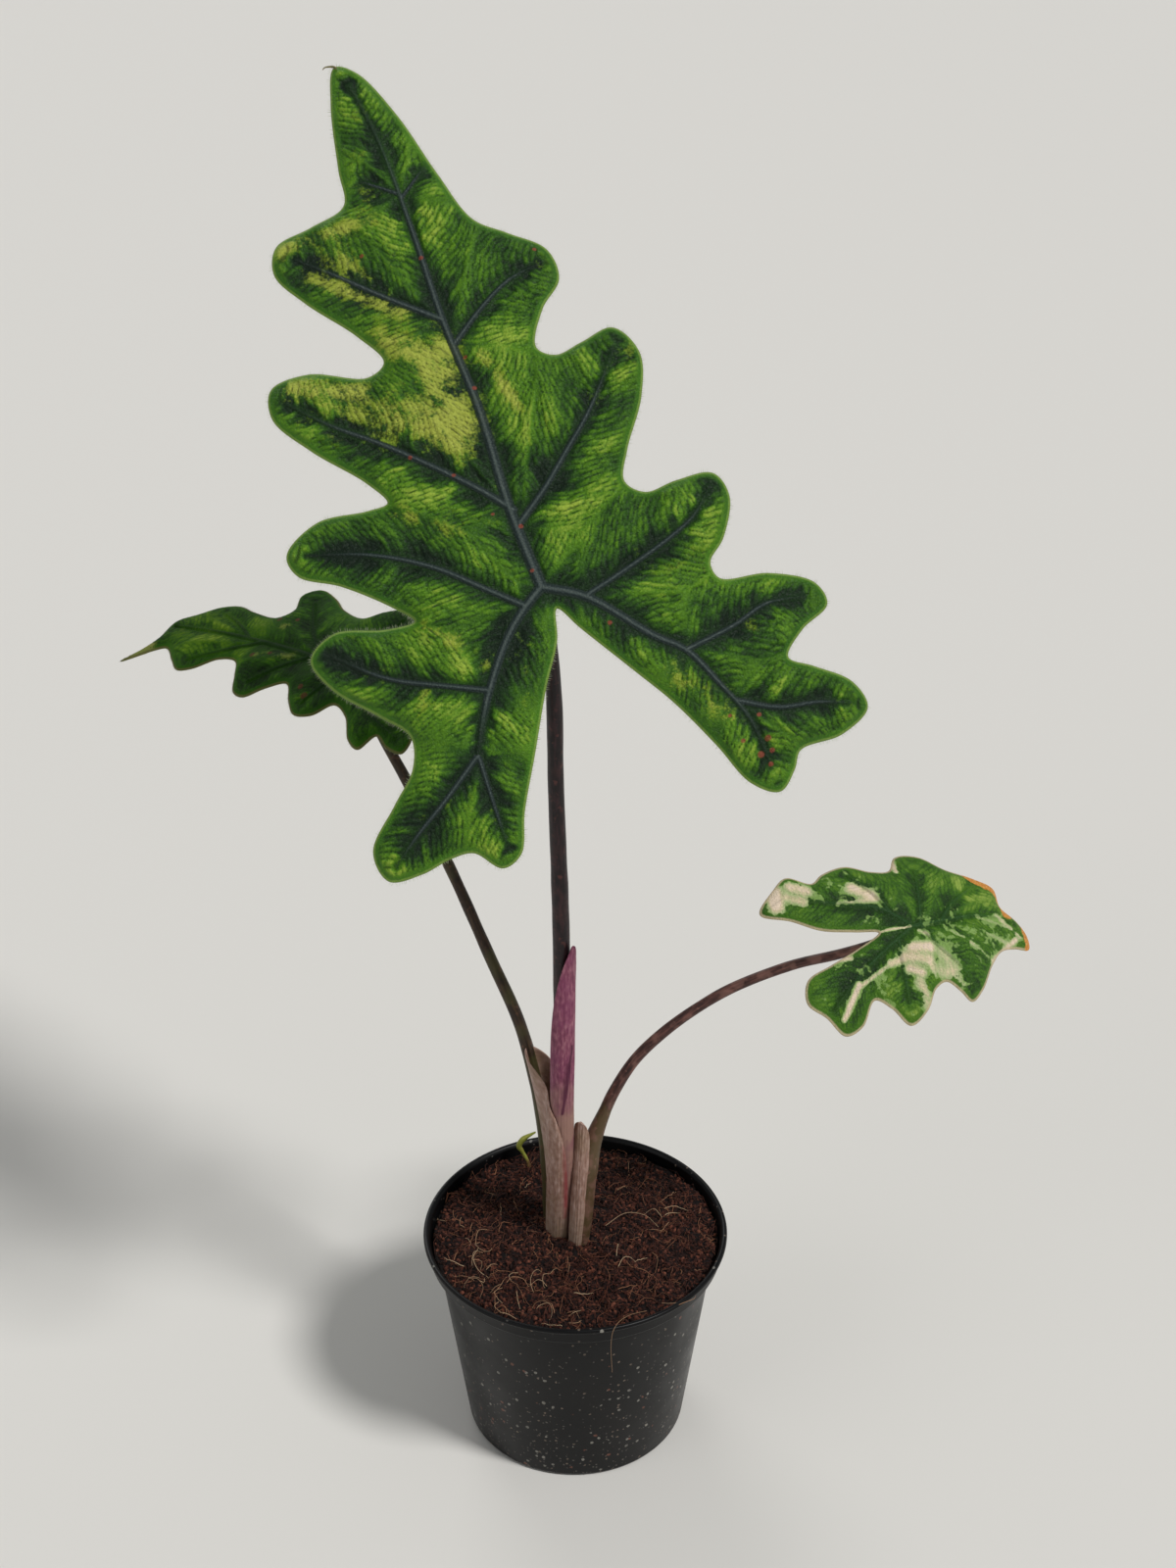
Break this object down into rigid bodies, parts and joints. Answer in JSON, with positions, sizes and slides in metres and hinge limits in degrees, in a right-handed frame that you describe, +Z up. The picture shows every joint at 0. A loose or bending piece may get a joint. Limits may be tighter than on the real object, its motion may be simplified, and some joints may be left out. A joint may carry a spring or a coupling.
{
  "type": "potted jacklyn alocasia",
  "caption": "House plant with lobed, quilted arrow-shaped leaves on long upright stalks, standing in a plain round tapered nursery pot filled with coir potting mix.",
  "frame": {"origin": "centre of the pot's underside, on the centre pad that stands on the surface", "axes": "+Z up, -Y towards the front, where the large leaf's face looks"},
  "size_m": [0.3527, 0.1863, 0.5145],
  "materials": {
    "pot_plastic": "black injection-moulded plastic, satin, with lime and dirt specks",
    "coir_mix": "damp dark coir crumbs and loose pale fibres",
    "root": "rough brown skin",
    "leaf_green": "leathery quilted green with yellow variegation and dark slate-green ribs",
    "leaf_variegated": "mid-green with cream patches and an orange-brown dying edge",
    "stalk_skin": "dark brown-purple skin with mottled bands, slightly glossy",
    "cataphyll_skin": "papery pink scale leaf with magenta streaks, beige towards its foot",
    "shoot_skin": "soft yellow-green"
  },
  "bodies": {
    "root": {"pot": "pot_plastic", "potting_mix": "coir_mix", "rootstock": "root", "large_leaf_blade": "leaf_green", "large_leaf_stalk": "stalk_skin", "left_leaf_blade": "leaf_green", "left_leaf_stalk": "stalk_skin", "right_leaf_blade": "leaf_variegated", "right_leaf_stalk": "stalk_skin", "cataphyll": "cataphyll_skin", "offset_shoot": "shoot_skin"}
  },
  "joints": []
}
